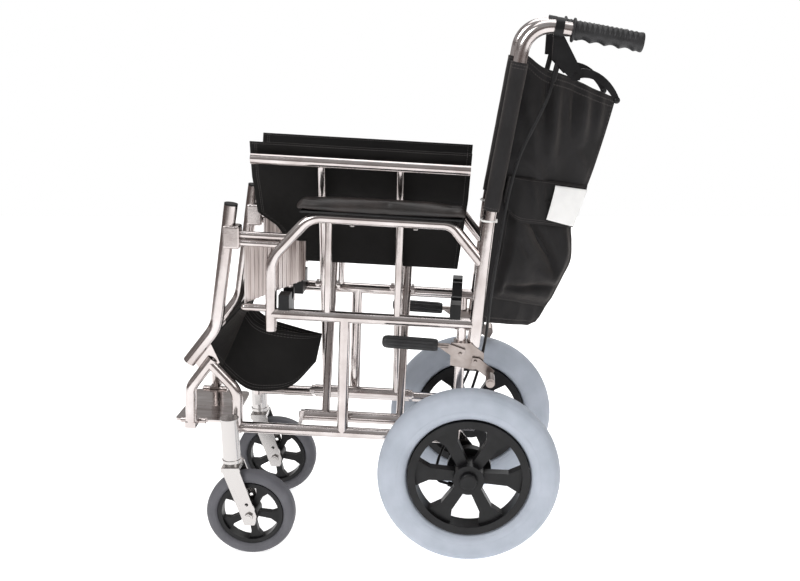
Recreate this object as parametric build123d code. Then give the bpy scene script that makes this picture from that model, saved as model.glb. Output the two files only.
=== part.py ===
# Folding transit wheelchair, in the folded state: the side frames are drawn together, the seat
# rails are raised by the cross braces, and the seat hangs between them.
# +X is the sitter's left, -Y is the front, +Z is up, and the floor is Z = 0.
# The side frames lean forward by RAKE. They are drawn in "frame axes": y and z are measured from
# the rear axle, along and square to the rails, and tilt() places them on the floor.
import os
from math import asin, atan2, cos, degrees, hypot, pi, radians, sin, tan

from build123d import *

os.makedirs("parts", exist_ok=True)

# ---- Driving dimensions (mm, degrees) ----
RAKE = 3.3
FIT = 0.1           # gap of a coped or pushed-in joint inside one body
RUN = 0.08          # running clearance round a pin, on the radius
CLEAR = 0.5         # clearance between parts that pass or rest near each other

REAR_D = 310.0      # rear tyre, outside
REAR_TYRE_W = 42.0
REAR_RIM_D = 207.0
REAR_RIM_W = 34.0
REAR_SPOKES = 6
CASTER_D = 152.0
CASTER_TYRE_W = 28.0
CASTER_RIM_D = 112.0
CASTER_SPOKES = 5
WHEELBASE = 378.0   # rear axle to caster axle
CASTER_TRAIL = 28.0

FRAME_X = 92.0      # side frame from the middle, folded
BRACE_HALF = 231.0  # cross brace leg, pivot to centre bolt
FOLD_ANGLE = 74.7   # brace leg above level, folded
RAIL_INSET = 31.0   # seat rail and brace pivot inboard of the side frame
TUBE = 19.0         # rails, posts, arm tube
UPRIGHT = 22.0      # front upright and back cane
SLIM = 12.0         # arm posts, short bars, hinge rod
LEG = 14.0          # brace legs
WALL = 1.6
STUB_Z = 260.0      # stub on the arm tube that holds the calf strap
BAR_Z = (384.0, 370.6)   # short bars from the front upright to the arm tube

BOTTOM_Z = 44.0     # bottom rail
SIDE_Z = 252.0      # seat-level side rail
PIVOT_Z = 60.0      # lower brace pivot
ARM_Z = 420.0       # arm tube
MID_POST_Y = -222.0
REAR_POST_Y = -26.0
REAR_POST_D = 16.0
ARC_FOOT_Y = -403.0
ARM_FRONT_Y = -346.0
ARM_POSTS_Y = (-252.0, -135.0)
SEAT_FRONT_Y = -386.0
SEAT_REAR_Y = -25.0
BRACE_Y = (-263.0, -133.0)   # where the front and the rear pair of legs cross
SLEEVE_Y = (-292.0, -118.0)
LUG_T = 6.0

PAD_Y = (-302.0, -29.0)
PAD_W = 46.0
PAD_T = 26.0
PAD_SHIFT = 3.0     # pad centre outboard of the arm tube

CANE_LOW = (-5.0, 214.0)
CANE_KNEE = (9.0, 430.0)
CANE_TOP = (50.0, 748.0)
HANDLE_END = (231.0, 727.0)
CANE_BEND = 46.0
GRIP_FROM = 70.0    # along the handle from the bend's corner
GRIP_L = 106.0
GRIP_D = 30.0

CLOTH = 3.0         # fabric thickness in these plain solids
FLANGE = 34.0       # back fabric that stays across the cane when folded
BACK_OPEN = 4.0     # sag angle of an open fabric half
STRAP_FLANGE = 70.0
STRAP_W = 92.0

HOUSING_D = 30.0
HOUSING_X = 27.0    # caster housing outboard of the side frame
HOUSING_TOP = 248.0
HOUSING_LOW = 170.0
STEM_D = 12.0
REAR_X = 50.0       # rear wheel's middle plane outboard of the side frame
AXLE_D = 12.0
DRUM_D = 76.0

PLATE_L = 100.0     # foot plate
PLATE_W = 76.0
PLATE_T = 4.0
PLATE_DROOP = 3.0   # foot plate's inner edge hangs by this angle

PLATE_HINGE_Z = 45.0
LUG_HALF = 9.0      # half length of the lug that holds the foot plate's pin

# ---- Worked out from them ----
PLATE_HINGE_X = FRAME_X - TUBE / 2 - 6.0
REAR_R = REAR_D / 2
CASTER_R = CASTER_D / 2
PIVOT_X = FRAME_X - RAIL_INSET
SEAT_Z = PIVOT_Z + 2 * BRACE_HALF * sin(radians(FOLD_ANGLE))
SEAT_OPEN_Z = SIDE_Z + TUBE + 8.0 + CLEAR
OPEN_ANGLE = degrees(asin((SEAT_OPEN_Z - PIVOT_Z) / (2 * BRACE_HALF)))
FOLD_RANGE = FOLD_ANGLE - OPEN_ANGLE
PIVOT_OPEN_X = PIVOT_X + BRACE_HALF * (cos(radians(OPEN_ANGLE)) - cos(radians(FOLD_ANGLE)))
FRAME_OPEN_X = PIVOT_OPEN_X + RAIL_INSET
CENTRE_Z = PIVOT_Z + BRACE_HALF * sin(radians(FOLD_ANGLE))
REAR_WHEEL_X = FRAME_X + REAR_X
CASTER_X = FRAME_X + HOUSING_X
STEM_Y = -WHEELBASE - CASTER_TRAIL


# ---- Shared ways of making things ----
def tilt(shape):
    """Place a shape drawn in frame axes on the floor axes."""
    return Pos(0, 0, REAR_R) * Rot(-RAKE, 0, 0) * shape


def run_path(points, bends):
    """Straight runs through points, joined by arcs."""
    if len(points) == 2:
        return Line(*points)
    return FilletPolyline(*points, radius=bends)


def rod(points, d, bends=0):
    """Solid round bar along points."""
    path = run_path(points, bends)
    section = Plane(origin=path @ 0, z_dir=path % 0) * Circle(d / 2)
    if len(points) == 2:
        return extrude(section, amount=path.length)
    return sweep(section, path=path)


def fused(shapes):
    """One solid from several that meet."""
    first, *rest = shapes
    return first.fuse(*rest) if rest else first


def weld(runs, wall=WALL):
    """Hollow weldment from (points, diameter, bends) runs."""
    skins = [rod(points, d, bends) for points, d, bends in runs]
    cores = [rod(points, d - 2 * wall, bends) for points, d, bends in runs]
    shape = fused(skins)
    for core in cores:
        shape = shape - core
    return shape


def in_frame(points, x=FRAME_X):
    """(y, z) pairs of the side frame as points in space."""
    return [(x, y, z) for y, z in points]


def plate_yz(outline, thickness, x=0.0):
    """Flat plate whose outline is (y, z) pairs, centred on x."""
    face = make_face(Polyline(*[(x, y, z) for y, z in outline], close=True))
    return extrude(face, amount=thickness / 2, dir=(1, 0, 0), both=True)


def along_y(y_from, y_to, d, x, z):
    """Cylinder along Y."""
    return Pos(x, (y_from + y_to) / 2, z) * Rot(90, 0, 0) * Cylinder(d / 2, abs(y_to - y_from))


def along_x(x_from, x_to, d, y, z):
    """Cylinder along X."""
    return Pos((x_from + x_to) / 2, y, z) * Rot(0, 90, 0) * Cylinder(d / 2, abs(x_to - x_from))


def box_at(x, y, z):
    """Box from (low, high) pairs."""
    size = [high - low for low, high in (x, y, z)]
    middle = [(high + low) / 2 for low, high in (x, y, z)]
    return Pos(*middle) * Box(*size)


# ---- Side frame: rails, posts, axle plate, brace hinge ----
CANE_POINTS = in_frame([CANE_LOW, CANE_KNEE, CANE_TOP, HANDLE_END])
CANE_BENDS = [300.0, CANE_BEND]
ARM_POINTS = in_frame([(ARM_FRONT_Y, 222), (ARM_FRONT_Y, 346), (-283, ARM_Z), (-52, ARM_Z), (4, 355)])
ARM_BENDS = [52.0, 44.0, 26.0]
FRONT_ARC = in_frame([(-450, 160), (ARC_FOOT_Y, 110), (ARC_FOOT_Y, BOTTOM_Z - TUBE / 2)])
UPRIGHT_POINTS = in_frame([(-412, 432), (-438, 222), (-484, 158)])


def cane_envelope():
    return rod(CANE_POINTS, UPRIGHT + 2 * FIT, CANE_BENDS)


def hinge_lug(y):
    """Plate from the bottom rail in to the brace pivot."""
    reach = hypot(RAIL_INSET, PIVOT_Z - BOTTOM_Z)
    turn = degrees(atan2(PIVOT_Z - BOTTOM_Z, -RAIL_INSET))
    slot = SlotCenterToCenter(reach, TUBE - 1)
    plate = extrude(Rot(0, 0, turn) * slot, amount=LUG_T / 2, both=True)
    middle = (FRAME_X - RAIL_INSET / 2, y, (PIVOT_Z + BOTTOM_Z) / 2)
    return Pos(*middle) * Rot(90, 0, 0) * plate


def side_frame():
    rear_low = -20.0
    runs = [
        (in_frame([(ARC_FOOT_Y, BOTTOM_Z), (REAR_POST_Y, BOTTOM_Z)]), TUBE, 0),
        (in_frame([(ARM_FRONT_Y, SIDE_Z), (CANE_LOW[0], SIDE_Z)]), TUBE, 0),
        (in_frame([(MID_POST_Y, BOTTOM_Z), (MID_POST_Y, SIDE_Z)]), TUBE, 0),
        (in_frame([(REAR_POST_Y, rear_low), (REAR_POST_Y, SIDE_Z)]), REAR_POST_D, 0),
    ]
    tubes = weld(runs)
    web = plate_yz([(-36, -18), (-36, 58), (-16, 58), (16, 18), (18, -10), (8, -18)], 5, FRAME_X)
    boss = along_x(FRAME_X - 9, FRAME_X + 9, AXLE_D + 12, 0, 0)
    lugs_y = (SLEEVE_Y[0] - CLEAR - LUG_T / 2, SLEEVE_Y[1] + CLEAR + LUG_T / 2)
    lugs = [hinge_lug(y) for y in lugs_y]
    hinge_rod = along_y(lugs_y[0] - LUG_T / 2 - 3, lugs_y[1] + LUG_T / 2 + 3, SLIM, PIVOT_X, PIVOT_Z)
    rail_core = rod(runs[0][0], TUBE - 2 * WALL)
    solid = fused([tubes, web, boss, *lugs, hinge_rod]) - along_x(FRAME_X - 10, FRAME_X + 10, AXLE_D, 0, 0)
    solid = solid - rail_core
    solid = solid - cane_envelope() - rod(FRONT_ARC, TUBE + 2 * FIT, 40.0)
    return solid - rod(ARM_POINTS, TUBE + 2 * FIT, ARM_BENDS)


def arm_slope_y(z):
    """Where the arm tube's rising front run is at height z."""
    (x, y1, z1), (x, y2, z2) = ARM_POINTS[1:3]
    return y1 + (z - z1) * (y2 - y1) / (z2 - z1)


def front_frame():
    runs = [
        (UPRIGHT_POINTS, UPRIGHT, 60.0),
        (in_frame([(-444, 166), (-482, 112), (-482, PLATE_HINGE_Z + 4)]), TUBE, 34.0),
        (FRONT_ARC, TUBE, 40.0),
    ]
    gusset = plate_yz([(-482, 168), (-455, 210), (-432, 160), (-452, 142), (-466, 146)], 4, FRAME_X)
    bars = [rod(in_frame([(-418, z), (arm_slope_y(z), z)]), SLIM) for z in BAR_Z]
    block = box_at((FRAME_X - 13, FRAME_X + 13), (-424, -396), (361, 400))
    block = fillet(block.edges(), 4)
    lug = box_at((PLATE_HINGE_X - 5, FRAME_X + 9), (-482 - LUG_HALF, -482 + LUG_HALF),
                 (PLATE_HINGE_Z - 5, PLATE_HINGE_Z + 5))
    pin = along_y(-482 - LUG_HALF - 14, -482 + LUG_HALF + 14, 6, PLATE_HINGE_X, PLATE_HINGE_Z)
    solid = fused([weld(runs), gusset, *bars, block, lug, pin])
    for points, d, bends in runs[:1]:
        solid = solid - rod(points, d - 2 * WALL, bends)
    return solid - rod(ARM_POINTS, TUBE + 2 * FIT, ARM_BENDS)


def arm_tube():
    runs = [(ARM_POINTS, TUBE, ARM_BENDS)]
    for y in ARM_POSTS_Y:
        runs.append((in_frame([(y, SIDE_Z), (y, ARM_Z)]), SLIM, 0))
    stub = rod(in_frame([(ARM_FRONT_Y, STUB_Z), (ARM_FRONT_Y - 44, STUB_Z)]), SLIM)
    stub = stub + Pos(FRAME_X, ARM_FRONT_Y - 44, STUB_Z) * Sphere(SLIM / 2)
    solid = weld(runs) + stub
    solid = solid - rod(ARM_POINTS, TUBE - 2 * WALL, ARM_BENDS)
    side_rail = rod(in_frame([(ARM_FRONT_Y + TUBE / 2, SIDE_Z), (0, SIDE_Z)]), TUBE + 2 * FIT)
    return solid - side_rail - cane_envelope()


def arm_pad():
    low = ARM_Z + TUBE / 2 + FIT
    middle = FRAME_X + PAD_SHIFT
    pad = box_at((middle - PAD_W / 2, middle + PAD_W / 2), PAD_Y, (low, low + PAD_T))
    pad = fillet(pad.edges().filter_by(Axis.Z), 14)
    return fillet(pad.faces().sort_by(Axis.Z)[-1].edges(), 9)


def back_cane():
    return rod(CANE_POINTS, UPRIGHT, CANE_BENDS) - rod(CANE_POINTS, UPRIGHT - 2 * WALL, CANE_BENDS)


def end_fittings():
    """Black plastic: two seat rail saddles, a cap on the upright, a cap under the foot tube's end."""
    pieces = []
    cradle_x = FRAME_X - RAIL_INSET
    for y in (-324.0, -38.0):
        block = box_at((cradle_x - 15, FRAME_X + 6), (y - 9, y + 9), (SIDE_Z - 4, SEAT_OPEN_Z + 6))
        seat = along_y(y - 10, y + 10, TUBE + 2 * CLEAR, cradle_x, SEAT_OPEN_Z)
        lead = box_at((cradle_x - TUBE / 2 - CLEAR, cradle_x + TUBE / 2 + CLEAR), (y - 10, y + 10),
                      (SEAT_OPEN_Z, SEAT_OPEN_Z + 20))
        rail = along_y(y - 10, y + 10, TUBE + 2 * FIT, FRAME_X, SIDE_Z)
        pieces.append(block - seat - lead - rail)
    top = Vector(*UPRIGHT_POINTS[0])
    lean = (top - Vector(*UPRIGHT_POINTS[1])).normalized()
    start = top + lean * FIT
    pieces.append(extrude(Plane(origin=start, z_dir=lean) * Circle(UPRIGHT / 2), amount=3))
    return Compound(children=pieces)


# ---- Upholstery, as plain solids ----
CANE_LEAN = degrees(atan2(CANE_TOP[0] - CANE_KNEE[0], CANE_TOP[1] - CANE_KNEE[1]))
SLEEVE_LOW = 448.0
SLEEVE_HIGH = 688.0
PANEL_L = (FRAME_OPEN_X - FLANGE) / cos(radians(BACK_OPEN))
PANEL_ANGLE = degrees(asin((FRAME_X - FLANGE) / PANEL_L))
PANEL_CUT = 28.0    # kept off the middle, where the other half passes while folding
PANEL_START = 0.7 * CLOTH   # a hinged panel starts this far from its hinge line
SEAT_HANG = 170.0
SEAT_OFFSET = TUBE / 2 + CLEAR + CLOTH / 2


def cane_y(z):
    """The straight upper cane's y at height z."""
    return CANE_KNEE[0] + (z - CANE_KNEE[1]) * tan(radians(CANE_LEAN))


def back_sleeve():
    ends = in_frame([(cane_y(SLEEVE_LOW), SLEEVE_LOW), (cane_y(SLEEVE_HIGH), SLEEVE_HIGH)])
    sleeve = rod(ends, UPRIGHT + 2 * CLOTH)
    flange = plate_yz([(y + dy, z) for (x, y, z), dy in
                       ((ends[0], -CLOTH / 2), (ends[0], CLOTH / 2), (ends[1], CLOTH / 2), (ends[1], -CLOTH / 2))],
                      FLANGE - CLEAR, FRAME_X - (FLANGE - CLEAR) / 2)
    return (sleeve + flange) - rod(CANE_POINTS, UPRIGHT + 2 * FIT, CANE_BENDS)


def back_panel():
    """Half of the back: hinged on the flange's edge, its outline in (reach, height) from there."""
    reach = PANEL_L - PANEL_CUT
    outline = [(PANEL_START, SLEEVE_HIGH), (reach, 664), (reach - 20, 470), (reach, 400), (reach - 30, 300),
               (reach - 55, 232), (42, 232), (30, 300), (PANEL_START, SLEEVE_LOW)]
    face = make_face(Polyline(*[(-r, 0, z - CANE_KNEE[1]) for r, z in outline], close=True))
    panel = extrude(face, amount=CLOTH / 2, dir=(0, 1, 0), both=True)
    turned = Rot(0, 0, -(90 - PANEL_ANGLE)) * panel
    leaned = Rot(-CANE_LEAN, 0, 0) * turned
    return Pos(FRAME_X - FLANGE, CANE_KNEE[0], CANE_KNEE[1]) * leaned


STRAP_TOP = (-384.0, STUB_Z - SLIM / 2 - 1.6)
STRAP_TURN = 46.5   # the strap's end edge below level, running forward
STRAP_L = (FRAME_OPEN_X - STRAP_FLANGE) / cos(radians(BACK_OPEN))
STRAP_ANGLE = degrees(asin((FRAME_X - STRAP_FLANGE) / STRAP_L))


def strap_place(shape):
    """From strap axes (X across, Y the way it sags, Z up its end edge) to frame axes."""
    return Pos(FRAME_X, *STRAP_TOP) * Rot(-(90 - STRAP_TURN), 0, 0) * shape


def strap_loop():
    """The strap's end, with a tab under the stub that it is sewn round."""
    loop = box_at((-STRAP_FLANGE + CLEAR, -12.5), (-CLOTH / 2, CLOTH / 2), (-STRAP_W, 0))
    tab = box_at((-14, 4), (-CLOTH / 2, CLOTH / 2), (-16, 0))
    return strap_place(loop + tab)


def calf_strap():
    reach = STRAP_L - PANEL_CUT
    flat = box_at((-reach, -PANEL_START), (-CLOTH / 2, CLOTH / 2), (-STRAP_W, 0))
    return strap_place(Pos(-STRAP_FLANGE, 0, 0) * Rot(0, 0, -(90 - STRAP_ANGLE)) * flat)


def seat_half():
    """Half of the seat, hung from its rail along the brace legs, its front edge swept back."""
    outline = [(SEAT_FRONT_Y, 0), (SEAT_FRONT_Y, -60), (SEAT_FRONT_Y + 60, -SEAT_HANG),
               (SEAT_REAR_Y - 12, -SEAT_HANG), (SEAT_REAR_Y, 0)]
    sheet = plate_yz(outline, CLOTH, -SEAT_OFFSET)
    return Pos(PIVOT_X, 0, SEAT_Z) * Rot(0, 90 - FOLD_ANGLE, 0) * sheet


# ---- Cross braces ----
def brace(side, shift, with_bolts):
    """One brace: a hinge sleeve on this side, two legs, and the seat rail on the other side.
    shift moves its legs along Y, so that they pass beside the other brace's."""
    low = (side * PIVOT_X, PIVOT_Z)
    high = (-side * PIVOT_X, SEAT_Z)
    sleeve = along_y(*SLEEVE_Y, SLIM + 8, *low)
    rail = along_y(SEAT_FRONT_Y, SEAT_REAR_Y, TUBE, *high)
    bore = along_y(*SLEEVE_Y, SLIM + 2 * RUN, *low)
    rail_core = along_y(SEAT_FRONT_Y, SEAT_REAR_Y, TUBE - 2 * WALL, *high)
    legs = [rod([(low[0], y + shift, low[1]), (high[0], y + shift, high[1])], LEG) for y in BRACE_Y]
    solid = fused([sleeve, rail, *legs]) - bore - rail_core
    bolt_d = 8.0
    hole = bolt_d if with_bolts else bolt_d + 2 * RUN
    pieces = []
    for y in BRACE_Y:
        grip = LEG + CLEAR
        solid = solid - along_y(y - 2 * LEG, y + 2 * LEG, hole + (2 * FIT if with_bolts else 0), 0, CENTRE_Z)
        if with_bolts:
            bolt = along_y(y - grip - 8, y + grip + 6, bolt_d, 0, CENTRE_Z)
            bolt += along_y(y - grip - 6, y - grip - 1, 15, 0, CENTRE_Z)
            bolt += along_y(y + grip + 1, y + grip + 6, 15, 0, CENTRE_Z)
            pieces.append(bolt)
    return Compound(children=[solid, *pieces]) if pieces else solid


# ---- Casters ----
def caster_housing():
    tube = Pos(CASTER_X, STEM_Y, (HOUSING_TOP + HOUSING_LOW) / 2) * Cylinder(HOUSING_D / 2, HOUSING_TOP - HOUSING_LOW)
    ring = Pos(CASTER_X, STEM_Y, HOUSING_LOW + 2.5) * Cylinder(HOUSING_D / 2 + 1.5, 5)
    cap = Pos(CASTER_X, STEM_Y, HOUSING_TOP - 1) * Cylinder(HOUSING_D / 2 + 1, 4)
    web = box_at((FRAME_X + 2, CASTER_X - 4), (STEM_Y - 3, STEM_Y + 7), (HOUSING_LOW + 18, HOUSING_TOP - 8))
    solid = fused([tube, ring, cap, web])
    bore_l = HOUSING_TOP - HOUSING_LOW - 8
    solid = solid - Pos(CASTER_X, STEM_Y, HOUSING_LOW + bore_l / 2 - 0.01) * Cylinder(STEM_D / 2 + RUN, bore_l)
    arc = tilt(rod(FRONT_ARC, TUBE + 2 * FIT, 40.0))
    rail = tilt(rod(in_frame([(ARC_FOOT_Y, BOTTOM_Z), (REAR_POST_Y, BOTTOM_Z)]), TUBE + 2 * FIT))
    return solid - arc - rail


FORK_GAP = CASTER_TYRE_W / 2 + 4.0
FORK_T = 4.0
CROWN_TOP = HOUSING_LOW - CLEAR


def caster_fork():
    crown_low = CROWN_TOP - 10
    stem_high = HOUSING_TOP - 12
    stem = Pos(CASTER_X, STEM_Y, (crown_low + stem_high) / 2) * Cylinder(STEM_D / 2, stem_high - crown_low)
    collar = Pos(CASTER_X, STEM_Y, CROWN_TOP - 3) * Cylinder(13, 6)
    half = FORK_GAP + FORK_T
    crown = box_at((CASTER_X - half, CASTER_X + half), (STEM_Y - 15, STEM_Y + 15), (crown_low - 2, CROWN_TOP - 4))
    leg = plate_yz([(STEM_Y - 15, CROWN_TOP - 4), (STEM_Y + 15, CROWN_TOP - 4), (-WHEELBASE + 13, CASTER_R),
                    (-WHEELBASE + 9, CASTER_R - 17), (-WHEELBASE - 9, CASTER_R - 17),
                    (-WHEELBASE - 15, CASTER_R + 4)], FORK_T)
    leg = fillet(leg.edges().filter_by(Axis.X), 3)
    legs = [Pos(CASTER_X + s * (FORK_GAP + FORK_T / 2), 0, 0) * leg for s in (-1, 1)]
    solid = fused([stem, collar, crown, *legs])
    hole = along_x(CASTER_X - 60, CASTER_X + 60, 8 + 2 * FIT, -WHEELBASE, CASTER_R)
    spare = along_x(CASTER_X - 60, CASTER_X + 60, 6, -WHEELBASE - 3, CASTER_R + 22)
    return solid - hole - spare


def caster_axle():
    reach = FORK_GAP + FORK_T
    bolt = along_x(CASTER_X - reach - 6, CASTER_X + reach + 6, 8, -WHEELBASE, CASTER_R)
    head = Pos(CASTER_X + reach + FIT + 2.5, -WHEELBASE, CASTER_R) * Rot(0, 90, 0)
    nut = Pos(CASTER_X - reach - FIT - 2.5, -WHEELBASE, CASTER_R) * Rot(0, 90, 0)
    hexagon = extrude(RegularPolygon(7.0, 6), amount=2.5, both=True)
    return fused([bolt, head * hexagon, nut * hexagon])


def ring_x(outer, inner, width):
    """Ring about X, centred on the origin."""
    return Rot(0, 90, 0) * (Cylinder(outer / 2, width) - Cylinder(inner / 2, width + 1))


def spoked_rim(d, width, spokes, hub_d, hub_w, bore, spoke_w, spoke_t, turn):
    """Moulded rim about X: channel ring, hub, tapered spokes whose roots widen into the ring."""
    ring = ring_x(d, d - 26 * d / 207, width)
    hub = ring_x(hub_d, bore, hub_w)
    inner = d / 2 - 11 * d / 207
    petal = make_face(Polyline((hub_d / 2 - 3, spoke_w * 0.42), (inner * 0.72, spoke_w / 2),
                               (inner, spoke_w * 1.15), (inner, -spoke_w * 1.15),
                               (inner * 0.72, -spoke_w / 2), (hub_d / 2 - 3, -spoke_w * 0.42), close=True))
    spoke = Rot(0, 90, 0) * extrude(petal, amount=spoke_t / 2, both=True)
    arms = [Rot(360 * i / spokes + turn, 0, 0) * spoke for i in range(spokes)]
    return fused([ring, hub, *arms]) - Rot(0, 90, 0) * Cylinder(bore / 2, hub_w + 10)


def tyre(d, seat_d, width):
    """Solid tyre about X with a rounded crown."""
    tall = (d - seat_d) / 2
    middle = (d + seat_d) / 4
    section = Pos(0, middle) * RectangleRounded(width, tall, min(width, tall) * 0.42)
    return revolve(section, axis=Axis.X)


def caster_rim():
    rim = spoked_rim(CASTER_RIM_D, CASTER_TYRE_W - 6, CASTER_SPOKES, 30, 2 * FORK_GAP - 2 * CLEAR, 8 + 2 * RUN,
                     12, 12, 8)
    return Pos(CASTER_X, -WHEELBASE, CASTER_R) * rim


def caster_tyre():
    return Pos(CASTER_X, -WHEELBASE, CASTER_R) * tyre(CASTER_D, CASTER_RIM_D + 2 * FIT, CASTER_TYRE_W)


# ---- Rear wheels, hub and drum ----
HUB_W = 46.0
DRUM_T = 14.0


def rear_rim():
    rim = spoked_rim(REAR_RIM_D, REAR_RIM_W, REAR_SPOKES, 52, HUB_W, AXLE_D + 2 * RUN, 22, 18, 25)
    return Pos(REAR_WHEEL_X, 0, REAR_R) * rim


def rear_tyre():
    return Pos(REAR_WHEEL_X, 0, REAR_R) * tyre(REAR_D, REAR_RIM_D + 2 * FIT, REAR_TYRE_W)


def rear_hub():
    """Fixed to the frame: axle, its end nut, and the drum brake's back plate with its arm."""
    inner = FRAME_X - 9
    outer = REAR_WHEEL_X + HUB_W / 2
    axle = along_x(inner - 8, outer + 9, AXLE_D - 2 * FIT, 0, REAR_R)
    inner_nut = along_x(inner - 7 - FIT, inner - FIT, 20, 0, REAR_R)
    cap = along_x(outer + CLEAR, outer + 9, 30, 0, REAR_R)
    cap = fillet(cap.edges().filter_by(GeomType.CIRCLE).sort_by(Axis.X)[-1], 4)
    drum_out = REAR_WHEEL_X - HUB_W / 2 - CLEAR
    drum = along_x(FRAME_X + 9 + FIT, drum_out, DRUM_D, 0, REAR_R)
    drum = drum - tilt(box_at((0, FRAME_X + 10.5), (-60, 60), (-60, 90)))
    spacer = along_x(FRAME_X + 9 + FIT, drum_out, 24, 0, REAR_R)
    end = Vector(*CABLE_ROUTE[-1])
    way = (end - Vector(*CABLE_ROUTE[-2])).normalized()
    socket = tilt(rod([end + way * FIT, end + way * 20], 9))
    return fused([axle, inner_nut, cap, drum, spacer, socket])


# ---- Hand grip and hand brake ----
HANDLE_DIR = Vector(0, HANDLE_END[0] - CANE_TOP[0], HANDLE_END[1] - CANE_TOP[1]).normalized()


def handle_point(reach):
    """Point on the handle's centre line, that far from the bend's corner."""
    corner = Vector(FRAME_X, *CANE_TOP)
    return corner + HANDLE_DIR * reach


def handle_ring(start, length, d, bore):
    plane = Plane(origin=handle_point(start), z_dir=HANDLE_DIR)
    return extrude(plane * Circle(d / 2), amount=length) - extrude(plane * Circle(bore / 2), amount=length)


def handle_grip():
    grip = handle_ring(GRIP_FROM, GRIP_L, GRIP_D, UPRIGHT + 2 * FIT)
    flange = handle_ring(GRIP_FROM, 4, GRIP_D + 8, UPRIGHT + 2 * FIT)
    end = handle_point(0).add(HANDLE_DIR * (GRIP_FROM + GRIP_L))
    cap = extrude(Plane(origin=end, z_dir=HANDLE_DIR) * Circle(GRIP_D / 2), amount=8)
    tube_end = rod(CANE_POINTS, UPRIGHT + 2 * FIT, CANE_BENDS)
    return fused([grip, flange, cap]) - tube_end


CLAMP_AT = 50.0
LEVER_PIVOT = (131.0, 672.0)
LEVER_T = 5.0
BARREL_TOP = (103.0, 696.0)
BARREL_END = (96.0, 660.0)


def brake_clamp():
    """Ring round the handle, two cheeks down to the lever's pivot, and the cable's barrel."""
    ring = handle_ring(CLAMP_AT - 7, 14, UPRIGHT + 10, UPRIGHT + 2 * FIT)
    mid = handle_point(CLAMP_AT)
    y, z = LEVER_PIVOT
    drop = [(mid.Y - 9, mid.Z - 11), (mid.Y + 9, mid.Z - 13), (y + 9, z + 6), (y + 7, z - 8), (y - 5, z - 10),
            (BARREL_TOP[0] - 4, BARREL_TOP[1] - 8)]
    half = LEVER_T / 2 + CLEAR
    cheeks = [plate_yz(drop, 3, FRAME_X + s * (half + 1.5)) for s in (-1, 1)]
    bridge = box_at((FRAME_X - half - 3, FRAME_X + half + 3), (mid.Y - 8, mid.Y + 6), (mid.Z - 50, mid.Z - 12.6))
    pin = along_x(FRAME_X - half - 5, FRAME_X + half + 5, 5, *LEVER_PIVOT)
    barrel = rod(in_frame([BARREL_TOP, BARREL_END]), 9)
    return fused([ring, *cheeks, bridge, pin, barrel]) - rod(CANE_POINTS, UPRIGHT + 2 * FIT, CANE_BENDS)


def hand_lever():
    y0, z0 = LEVER_PIVOT
    path = Spline((FRAME_X, y0, z0), (FRAME_X, y0 + 24, z0 + 2), (FRAME_X, y0 + 50, z0 - 12),
                  (FRAME_X, y0 + 68, z0 - 36))
    steps = 12
    centre = [path @ (i / steps) for i in range(steps + 1)]
    normal = [(path % (i / steps)).cross(Vector(1, 0, 0)).normalized() for i in range(steps + 1)]
    width = [7.5 - 3.0 * i / steps for i in range(steps + 1)]
    upper = [(p + n * w) for p, n, w in zip(centre, normal, width)]
    lower = [(p - n * w) for p, n, w in zip(centre, normal, width)]
    outline = Polyline(*upper, *reversed(lower), close=True)
    lever = extrude(make_face(outline), amount=LEVER_T / 2, dir=(1, 0, 0), both=True)
    eye = along_x(FRAME_X - LEVER_T / 2, FRAME_X + LEVER_T / 2, 16, y0, z0)
    tip = Pos(FRAME_X, centre[-1].Y, centre[-1].Z) * Sphere(5.5)
    return (lever + eye + tip) - along_x(FRAME_X - 9, FRAME_X + 9, 5 + 2 * RUN, y0, z0)


CABLE_D = 5.0
# From the clamp's barrel, down behind the cane, inboard of the frame, and forward into the drum.
CABLE_ROUTE = [(92, 96, 659.8), (92.4, 90, 633), (95, 74, 594), (98, 53, 548), (99, 40, 494), (100, 32, 436),
               (100, 27, 378), (97, 21, 322), (89, 18, 272), (81, 16, 225), (76, 9, 178), (74, -2, 130),
               (74, -17, 84), (76, -37, 42), (83, -52, 8), (94, -58, -18), (104, -54, -32), (109.8, -34.2, -34)]


def cable_radii(points):
    """Each bend as large as its two runs allow."""
    radii = []
    for before, here, after in zip(points, points[1:], points[2:]):
        a = Vector(*here) - Vector(*before)
        b = Vector(*after) - Vector(*here)
        half_turn = radians(a.get_angle(b)) / 2
        radii.append(0.45 * min(a.length, b.length) / tan(half_turn))
    return radii


def brake_cable():
    radii = cable_radii(CABLE_ROUTE)
    cable = rod(CABLE_ROUTE, CABLE_D, radii)
    length = run_path(CABLE_ROUTE, radii).length
    print("brake cable: length", round(length), "radii", [round(r) for r in radii],
          "volume ratio", round(cable.volume / (pi * (CABLE_D / 2) ** 2 * length), 4))
    return cable


# ---- Parking brake ----
PARK_X = FRAME_X + 17.0
PARK_PIVOT = (-26.0, 204.0)
SHOE_PIVOT = (0.0, 192.0)
SHOE_AT = (26.0, 172.0)
PARK_T = 4.0
PARK_GRIP_D = 17.0


def park_bracket():
    """Clamp round the rear post, with the plate that carries the lever and the shoe arm."""
    clamp = box_at((FRAME_X - 12, FRAME_X + 12), (REAR_POST_Y - 12, REAR_POST_Y + 12), (186, 222))
    plate = plate_yz([(-42, 182), (-42, 222), (-8, 222), (14, 206), (14, 180), (-4, 176)], 3, FRAME_X + 12.5)
    pins = [along_x(FRAME_X + 11, PARK_X + 6, 6, y, z) for y, z in (PARK_PIVOT, SHOE_PIVOT)]
    solid = fused([clamp, plate, *pins])
    post = rod(in_frame([(REAR_POST_Y, 150), (REAR_POST_Y, 240)]), REAR_POST_D + 2 * FIT)
    return solid - post - cane_envelope()


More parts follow.
